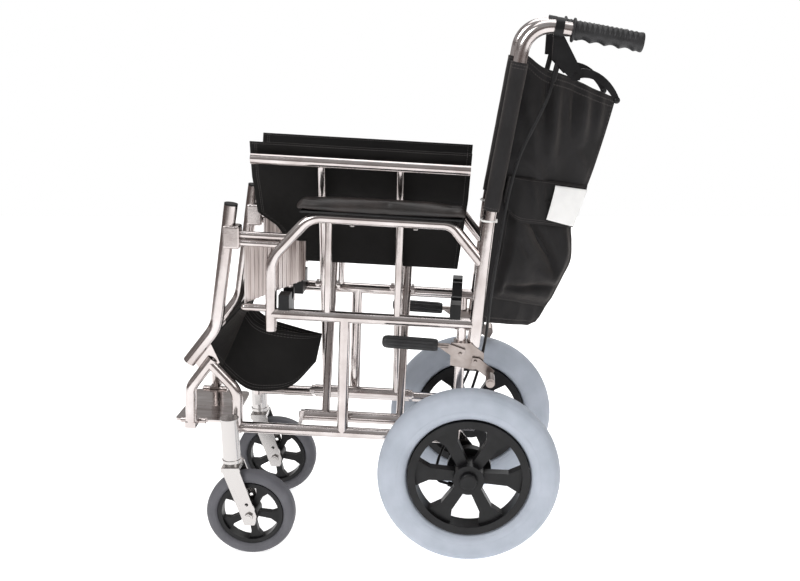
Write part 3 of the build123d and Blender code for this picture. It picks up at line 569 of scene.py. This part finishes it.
# The back's paler base colour is painted light, standing in for the light the back catches.
back_cloth = woven("back_nylon", NYLON_PAINTED_LIT, 0.3, 300, 240,
                   (("v", 1, 4), ("v", 1, 9), ("u", 0, 3), ("v", 0, 5)))
for side, sign in SIDES:
    back = sewn_sheet(f"back_cloth_{side}", back_point(sign), 150, 90, 0.0013)
    back.data.materials.append(back_cloth)
    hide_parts(f"back_panel_{side}", f"back_sleeve_{side}")
    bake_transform(back)


# ---- Back pocket ----
# A gathered bag of the same nylon, sewn to the outer face of each half of the back under a flap with a
# rounded lower corner. Bag and flap hang from their seams.
BAG_FOLDS = (((92, 432), (168, 352), 9, -14), ((62, 425), (118, 305), 20, 9), ((172, 425), (192, 372), 12, 6),
             ((50, 335), (60, 298), 9, 5), ((64, 314), (182, 322), 7, -10), ((120, 350), (186, 330), 10, 7),
             ((70, 400), (96, 372), 7, -4))
BAG_LOW = ((40, 290), (100, 286), (200, 279))
BAG_HIGH = 470


def bag_point(sign):
    def place(u, v):
        share = 0.2 + 0.79 * u
        across = HINGE_X * (1 - share)
        low = between(share * ACROSS, BAG_LOW) + 3 * rumple(share * ACROSS, 0, 17.0 + sign)
        height = low + (BAG_HIGH - low) * v
        edge = ease(u, 0, 0.14) * (1 - 0.55 * ease(u, 0.88, 1)) * ease(v, 0, 0.12)
        off = 3.0 + 14.0 * edge * (0.65 + 0.35 * math.sin(math.pi * min(1, v * 1.15)))
        off += edge * (3.5 * rumple(share * 170 + 60 * v, height * 0.55, 31.0 + sign)
                       + folds(BAG_FOLDS, share * ACROSS, height))
        return back_place(sign, across, height, max(off, 1.5))
    return place


def flap_rise(share, v):
    """How far the flap stands off the back, with v from 0 at its lower edge to 1 at its upper edge."""
    return 4.0 + 15.0 * (1 - v) ** 0.7 * ease(share, 0.1, 0.3) * (1 - 0.3 * ease(share, 0.9, 1))


FLAP_LOW, FLAP_HIGH = 430, 503
FLAP_FOLDS = (((70, 505), (96, 455), 8, 4), ((108, 500), (124, 462), 7, -3))


def flap_point(sign):
    def place(u, v):
        share = 0.11 + 0.88 * u
        across = HINGE_X * (1 - share)
        corner = 46 * (1 - math.sqrt(max(0, 1 - (1 - min(1, u / 0.28)) ** 2)))
        low = FLAP_LOW + corner
        height = low + (FLAP_HIGH - low) * v
        wave = 1.4 * (1 - v) * rumple(share * 180, height, 41.0 + sign)
        off = flap_rise(share, (height - FLAP_LOW) / (FLAP_HIGH - FLAP_LOW)) + wave
        off += folds(FLAP_FOLDS, share * ACROSS, height)
        return back_place(sign, across, height, off)
    return place


# Bag and flap take the back's paler colour, which is painted light like the back's.
bag_cloth = woven("pocket_nylon", NYLON_PAINTED_LIT, 0.3, 190, 230, (("v", 1, 6), ("u", 0, 3), ("v", 0, 3)))
flap_cloth = woven("flap_nylon", NYLON_PAINTED_LIT, 0.3, 180, 88,
                   (("v", 0, 4), ("v", 0, 8), ("u", 0, 4), ("v", 1, 4)))
for side, sign in SIDES:
    bag = sewn_sheet(f"back_pocket_{side}", bag_point(sign), 100, 90, 0.0012)
    bag.data.materials.append(bag_cloth)
    flap = sewn_sheet(f"pocket_flap_{side}", flap_point(sign), 90, 40, 0.0014)
    flap.data.materials.append(flap_cloth)
    for piece, flat in ((bag, (0.165, 0.185)), (flap, (0.155, 0.085))):
        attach(piece, f"back_{side}")


# ---- Blank label on the back ----
# A white cotton label with nothing on it, sewn by its upper edge to the left half of the back. It lies over
# the rear part of the flap.
LABEL_LOW, LABEL_HIGH = 440, 498


def label_point(u, v):
    share = 0.62 + 0.37 * u
    height = LABEL_LOW - 8 * u + (LABEL_HIGH - LABEL_LOW + 7 * u) * v
    off = flap_rise(share, (height - FLAP_LOW) / (FLAP_HIGH - FLAP_LOW)) + 4.2
    off += 0.8 * math.sin(3 * u + 2 * v)
    return back_place(1, HINGE_X * (1 - share), height, off)


label_cloth, nodes, links, shader, where = new_finish("label_cotton", (0.85, 0.85, 0.84), 0.0, 0.85)
relief(nodes, links, shader, grain(nodes, links, where, 700, 2), 0.2, 0.0003)
links.new(shades(nodes, links, grain(nodes, links, where, 60, 3),
                 ((0.3, (0.88, 0.88, 0.87)), (0.7, (0.93, 0.93, 0.92)))),
          shader.inputs["Base Color"])
label = sewn_sheet("back_label", label_point, 24, 18, 0.0006)
label.data.materials.append(label_cloth)
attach(label, "back_left")


# ---- Calf strap ----
# One wide band of the same nylon, hemmed along both edges and held at the two front posts. Folded, its slack
# droops back in a loop between them.
STRAP_X, STRAP_POST_X = 22.0, 83.0
# share of the way from the post to the middle, then where the lower and upper edges run there
STRAP_LOW_Y = ((0, -445), (0.3, -403), (0.5, -368), (0.75, -323), (1, -283))
STRAP_LOW_Z = ((0, 124), (0.3, 88), (0.5, 83), (0.75, 94), (1, 137))
STRAP_HIGH_Y = ((0, -401), (0.3, -385), (0.5, -362), (0.75, -310), (1, -273))
STRAP_HIGH_Z = ((0, 232), (0.3, 214), (0.5, 203), (0.75, 193), (1, 190))


def strap_point(sign):
    def place(u, v):
        if u < 0.72:
            share = 1 - u / 0.72
            x = STRAP_X * (1 - share ** 2.4) + 0.6
            wave = 2.5 * rumple(150 * share, 92 * v, 51.0 + sign) + 2.0 * v
            wave *= math.sin(math.pi * min(1, share * 1.1))
            y = curve(share, STRAP_LOW_Y) * (1 - v) + curve(share, STRAP_HIGH_Y) * v
            z = curve(share, STRAP_LOW_Z) * (1 - v) + curve(share, STRAP_HIGH_Z) * v
            x += max(0, wave) * 1.6
        else:
            share = (u - 0.72) / 0.28
            x = STRAP_X + 0.6 + (STRAP_POST_X - STRAP_X) * share
            ease_in = share * share * (3 - 2 * share)
            low_y, high_y = STRAP_LOW_Y[0][1] - 17 * ease_in, STRAP_HIGH_Y[0][1] + 2 * ease_in
            low_z, high_z = STRAP_LOW_Z[0][1] + 57 * share, STRAP_HIGH_Z[0][1] + 24 * share
            y = low_y * (1 - v) + high_y * v
            z = low_z * (1 - v) + high_z * v
        return chair(sign * x, y, z)
    return place


strap_cloth = woven("strap_nylon", NYLON, 0.12, 225, 96,
                    (("v", 0, 5), ("v", 1, 5), ("v", 0, 9), ("v", 1, 9)))
for side, sign in SIDES:
    strap = sewn_sheet(f"calf_strap_cloth_{side}", strap_point(sign), 80, 34, 0.002)
    strap.data.materials.append(strap_cloth)
    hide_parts(f"calf_strap_{side}", f"strap_loop_{side}")
    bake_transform(strap)


# ---- Arm pads ----
# Foam under black leathercloth, pulled round a moulded base and stapled, so the ends gather in small pleats.
# Each pad lies along its arm tube and is screwed on from below.
PAD_X, PAD_MIDDLE, PAD_FOOT = 95.0, -165.5, 429.6
PAD_LENGTH, PAD_WIDTH, PAD_THICK = 273.0, 46.0, 23.8
BASE_T = 4.0


def pad_shell():
    """The foam's swollen skin, in millimetres about its own middle, from a short cloth simulation."""
    bpy.ops.object.select_all(action="DESELECT")
    bpy.ops.mesh.primitive_cube_add(size=1)
    pad = bpy.context.object
    bpy.ops.object.mode_set(mode="EDIT")
    bpy.ops.mesh.select_all(action="SELECT")
    bpy.ops.transform.resize(value=(0.039, 0.266, 0.013))
    bpy.ops.mesh.bevel(offset=0.0055, segments=3, affect="EDGES")
    bpy.ops.object.mode_set(mode="OBJECT")
    cells = pad.modifiers.new("cells", "REMESH")
    cells.mode = "VOXEL"
    cells.voxel_size = 0.004
    bpy.ops.object.modifier_apply(modifier="cells")
    rest = [vertex.co.copy() for vertex in pad.data.vertices]
    swell = pad.modifiers.new("swell", "CLOTH")
    swell.settings.use_pressure = True
    swell.settings.uniform_pressure_force = 4
    swell.settings.effector_weights.gravity = 0
    for step in range(1, 21):
        bpy.context.scene.frame_set(step)
    bpy.ops.object.modifier_apply(modifier="swell")
    bpy.context.scene.frame_set(1)
    for vertex, start in zip(pad.data.vertices, rest):
        move = vertex.co - start
        if move.length > 0.005:
            vertex.co = start + move.normalized() * 0.005
    finer = pad.modifiers.new("finer", "SUBSURF")
    finer.levels = finer.render_levels = 1
    bpy.ops.object.modifier_apply(modifier="finer")
    return pad


def dress_pad(co, sign):
    """A point of the shell, fitted to the base and gathered at the ends."""
    x, y, z = co.x * 1000, co.y * 1000, co.z * 1000
    y *= PAD_LENGTH / 2 / pad_reach
    x *= PAD_WIDTH / 2 / pad_half
    near_end = ease(abs(y), PAD_LENGTH / 2 - 38, PAD_LENGTH / 2 - 6)
    z = (z - pad_low) / (pad_high - pad_low) * PAD_THICK
    crown = 1.6 * (1 - (2 * x / PAD_WIDTH) ** 2)
    gather = math.sin(x * 0.55 + 2.2 * noise.noise(Vector((x * 0.08, y * 0.05, 3))))
    pleat = gather * 1.5 * near_end * ease(z, 2, 9)
    waves = 0.5 * rumple(y * 2.2, x * 2.0, 61.0 + sign)
    z = max(0, z + (crown - 1.6) * ease(z, 6, 16) + (pleat + waves) * ease(z, 3, 10))
    z *= 1 - 0.3 * ease(abs(y), PAD_LENGTH / 2 - 15, PAD_LENGTH / 2 + 3) ** 2
    x *= 1 - 0.1 * near_end
    return chair(sign * (PAD_X + x), PAD_MIDDLE + y, PAD_FOOT + BASE_T + z - 2)


PAD_BLACK = (0.008, 0.006, 0.0055)
leathercloth, nodes, links, shader, where = new_finish("black_leathercloth", PAD_BLACK, 0.0, 0.42)
cells = nodes.new("ShaderNodeTexVoronoi")
cells.inputs["Scale"].default_value = 620
links.new(where, cells.inputs["Vector"])
worn = grain(nodes, links, where, 24, 5)
links.new(shades(nodes, links, worn, ((0.35, (0.006, 0.0045, 0.004)), (0.75, (0.024, 0.017, 0.015)))),
          shader.inputs["Base Color"])
rough_from(nodes, links, shader, worn, 0.34, 0.55)
relief(nodes, links, shader, cells.outputs["Distance"], 0.35, 0.0004)
relief(nodes, links, shader, grain(nodes, links, where, 120, 4), 0.25, 0.0008)
shell = pad_shell()
pad_reach = max(abs(v.co.y) for v in shell.data.vertices) * 1000
pad_half = max(abs(v.co.x) for v in shell.data.vertices) * 1000
pad_low = min(v.co.z for v in shell.data.vertices) * 1000
pad_high = max(v.co.z for v in shell.data.vertices) * 1000
second_shell = bpy.data.objects.new("pad_copy", shell.data.copy())
bpy.context.scene.collection.objects.link(second_shell)
for (side, sign), pad in zip(SIDES, (shell, second_shell)):
    pad.name = f"arm_pad_cover_{side}"
    pad.data.name = pad.name
    for vertex in pad.data.vertices:
        vertex.co = dress_pad(vertex.co, sign)
    face_outwards(pad)
    bpy.ops.object.shade_smooth()
    pad.data.materials.append(leathercloth)
    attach(pad, f"{side}_frame")
    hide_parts(f"arm_pad_{side}")

    bpy.ops.object.select_all(action="DESELECT")
    bpy.ops.mesh.primitive_cube_add(size=1)
    base = bpy.context.object
    base.name = f"arm_pad_base_{side}"
    base.data.name = base.name
    bpy.ops.object.mode_set(mode="EDIT")
    bpy.ops.mesh.select_all(action="SELECT")
    bpy.ops.transform.resize(value=(PAD_WIDTH - 5, PAD_LENGTH - 9, BASE_T))
    bpy.ops.mesh.bevel(offset=2.2, segments=3, affect="EDGES")
    bpy.ops.object.mode_set(mode="OBJECT")
    for vertex in base.data.vertices:
        corner = ease(abs(vertex.co.y), 118, 134)
        vertex.co.x *= 1 - 0.28 * corner
        vertex.co = chair(sign * (PAD_X + vertex.co.x), PAD_MIDDLE + vertex.co.y,
                          PAD_FOOT + BASE_T / 2 + vertex.co.z)
    face_outwards(base)
    bpy.ops.object.shade_smooth_by_angle(angle=math.radians(35))
    base.data.materials.append(moulded)
    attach(base, f"{side}_frame")


# ---- Hand grips ----
# Moulded black rubber pushed on the bent end of each cane: a flange, fine ribs on top, four finger hollows
# below and a rounded end.
GRIP_START, GRIP_END, GRIP_R = 70.0, 184.0, 15.0
HANDLE_FROM, HANDLE_TO = (50.0, 748.0), (231.0, 727.0)
HANDLE_RUN = math.hypot(HANDLE_TO[0] - HANDLE_FROM[0], HANDLE_TO[1] - HANDLE_FROM[1])
HANDLE_Y = (HANDLE_TO[0] - HANDLE_FROM[0]) / HANDLE_RUN
HANDLE_Z = (HANDLE_TO[1] - HANDLE_FROM[1]) / HANDLE_RUN


def turned(name, sections, vertices):
    """A closed turned shape along +Z from (height, radius) sections, in millimetres."""
    bpy.ops.object.select_all(action="DESELECT")
    bpy.ops.mesh.primitive_circle_add(vertices=vertices, radius=sections[0][1], fill_type="NGON",
                                      location=(0, 0, 0))
    piece = bpy.context.object
    piece.name = name
    piece.data.name = name
    bpy.ops.object.mode_set(mode="EDIT")
    bpy.ops.mesh.select_all(action="SELECT")
    for (low, before), (high, after) in zip(sections, sections[1:]):
        bpy.ops.mesh.extrude_region_move(TRANSFORM_OT_translate={"value": (0, 0, high - low)})
        bpy.ops.transform.resize(value=(after / before, after / before, 1))
    bpy.ops.mesh.select_all(action="SELECT")
    bpy.ops.mesh.normals_make_consistent(inside=False)
    bpy.ops.object.mode_set(mode="OBJECT")
    for vertex in piece.data.vertices:
        vertex.co.z += sections[0][0]
    return piece


def settle(piece, place, angle):
    """Puts a turned shape where place(x, y, z) says, faces outwards and smooth."""
    for vertex in piece.data.vertices:
        vertex.co = place(*vertex.co)
    face_outwards(piece)
    bpy.ops.object.shade_smooth_by_angle(angle=math.radians(angle))


def handle_place(sign):
    def place(x, y, z):
        across, up = x, y
        along = z
        if along > GRIP_START + 6:
            inside = ease(along, GRIP_START + 6, GRIP_START + 12)
            inside *= 1 - ease(along, GRIP_END - 12, GRIP_END - 6)
            turn = math.atan2(up, across)
            top = ease(math.sin(turn), -0.05, 0.3)
            below = ease(-math.sin(turn), 0.1, 0.9)
            beat = math.sin(math.pi * (along - 80) / 4.0)
            rib = 0.55 * math.copysign(abs(beat) ** 0.5, beat)
            hollow = 3.4 * abs(math.sin(math.pi * (along - GRIP_START - 8) / 23.0)) ** 1.3
            grow = 1 + (inside * (top * rib - below * (hollow - 0.8))) / GRIP_R
            across, up = across * grow, up * grow
        y_frame = HANDLE_FROM[0] + along * HANDLE_Y - up * HANDLE_Z
        z_frame = HANDLE_FROM[1] + along * HANDLE_Z + up * HANDLE_Y
        return chair(sign * (CANE_X + across), y_frame, z_frame)
    return place


rubber, nodes, links, shader, where = new_finish("grip_rubber_black", (0.009, 0.009, 0.01), 0.0, 0.5)
links.new(shades(nodes, links, grain(nodes, links, where, 40, 4),
                 ((0.3, (0.006, 0.006, 0.007)), (0.75, (0.02, 0.02, 0.022)))),
          shader.inputs["Base Color"])
rough_from(nodes, links, shader, grain(nodes, links, where, 30, 4), 0.42, 0.62)
relief(nodes, links, shader, grain(nodes, links, where, 600, 2), 0.15, 0.0004)
grip_sections = [(GRIP_START, 17.0), (GRIP_START + 0.8, 18.8), (GRIP_START + 3.4, 19.0),
                 (GRIP_START + 4.4, 17.5), (GRIP_START + 5.5, 15.2)]
grip_sections += [(GRIP_START + 6.5 + 1.0 * i, GRIP_R) for i in range(100)]
grip_sections += [(GRIP_END - 6, 15.4), (GRIP_END - 3, 15.6), (GRIP_END - 1, 14.6), (GRIP_END - 0.2, 12.5),
                  (GRIP_END, 9.0)]
for side, sign in SIDES:
    grip = turned(f"hand_grip_{side}", grip_sections, 64)
    settle(grip, handle_place(sign), 50)
    grip.data.materials.append(rubber)
    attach(grip, f"{side}_frame")
    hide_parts(f"handle_grip_{side}")


# ---- Parking brake grips ----
# A black rubber sleeve with ribs along it and a rounded end, pushed on the stalk of each parking brake
# lever. It turns with the lever.
PARK_X, PARK_FROM, PARK_RISE = 109.0, (-64.0, 217.33), 0.0186
sleeve_sections = [(0, 7.5), (1, 9.4), (4, 10.2), (8, 10.4)]
sleeve_sections += [(8 + 2 * i, 10.4 + 0.01 * i) for i in range(1, 38)]
sleeve_sections += [(85, 10.6), (89, 9.8), (91.6, 8), (93, 5)]


def sleeve_place(sign):
    def place(x, y, z):
        turn, radius = math.atan2(y, x), math.hypot(x, y)
        if 6 < z < 84 and radius > 10:
            beat = math.sin(11 * turn)
            radius += 0.75 * math.copysign(abs(beat) ** 0.6, beat) - 0.5
        return chair(sign * (PARK_X + radius * math.cos(turn)), PARK_FROM[0] - z,
                     PARK_FROM[1] + z * PARK_RISE + radius * math.sin(turn))
    return place


for side, sign in SIDES:
    sleeve = turned(f"park_sleeve_{side}", sleeve_sections, 132)
    settle(sleeve, sleeve_place(sign), 50)
    sleeve.data.materials.append(rubber)
    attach(sleeve, f"park_lever_{side}")
    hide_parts(f"park_grip_{side}")


# ---- Screws under the arm pads ----
# Plated pan-head screws, two to each arm, driven up through the arm tube into the pad's base. Only their
# heads show.
SCREWS_Y, ARM_UNDERSIDE = (-214.0, -110.0), 409.9
screw_sections = ((-2.5, 2.6), (-2.3, 3.6), (-1.2, 4.4), (0.4, 4.5), (0.8, 4.3))
for side, sign in SIDES:
    for i, y in enumerate(SCREWS_Y):
        screw = turned(f"pad_screw_{side}_{i + 1}", screw_sections, 24)
        settle(screw, lambda a, b, c: chair(sign * (CANE_X + a), y + b, ARM_UNDERSIDE + c), 30)
        screw.data.materials.append(chrome)
        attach(screw, f"{side}_frame")


# ---- Cable ties ----
# A white nylon cable tie, pulled tight round each cane just under the back's sleeve. Its square head sits
# behind the cane.
TIE_Y, TIE_Z = 7.2, 431.0
tie_nylon, nodes, links, shader, where = new_finish("tie_nylon", (0.82, 0.82, 0.8), 0.0, 0.4)
links.new(shades(nodes, links, grain(nodes, links, where, 90, 3),
                 ((0.3, (0.72, 0.72, 0.7)), (0.7, (0.88, 0.88, 0.86)))),
          shader.inputs["Base Color"])
relief(nodes, links, shader, grain(nodes, links, where, 900, 2), 0.15, 0.0002)
for side, sign in SIDES:
    bpy.ops.object.select_all(action="DESELECT")
    bpy.ops.mesh.primitive_torus_add(major_radius=12.0, minor_radius=1.0, major_segments=64,
                                     minor_segments=10)
    tie = bpy.context.object
    tie.name = f"cable_tie_{side}"
    tie.data.name = tie.name
    bpy.ops.object.mode_set(mode="EDIT")
    bpy.ops.mesh.primitive_cube_add(size=4.2, location=(2, 13.6, 0))
    bpy.ops.mesh.bevel(offset=0.7, segments=2, affect="EDGES")
    bpy.ops.object.mode_set(mode="OBJECT")
    settle(tie, lambda x, y, z: chair(sign * (CANE_X + x), TIE_Y + y, TIE_Z + z * 1.5), 40)
    tie.data.materials.append(tie_nylon)
    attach(tie, f"{side}_frame")
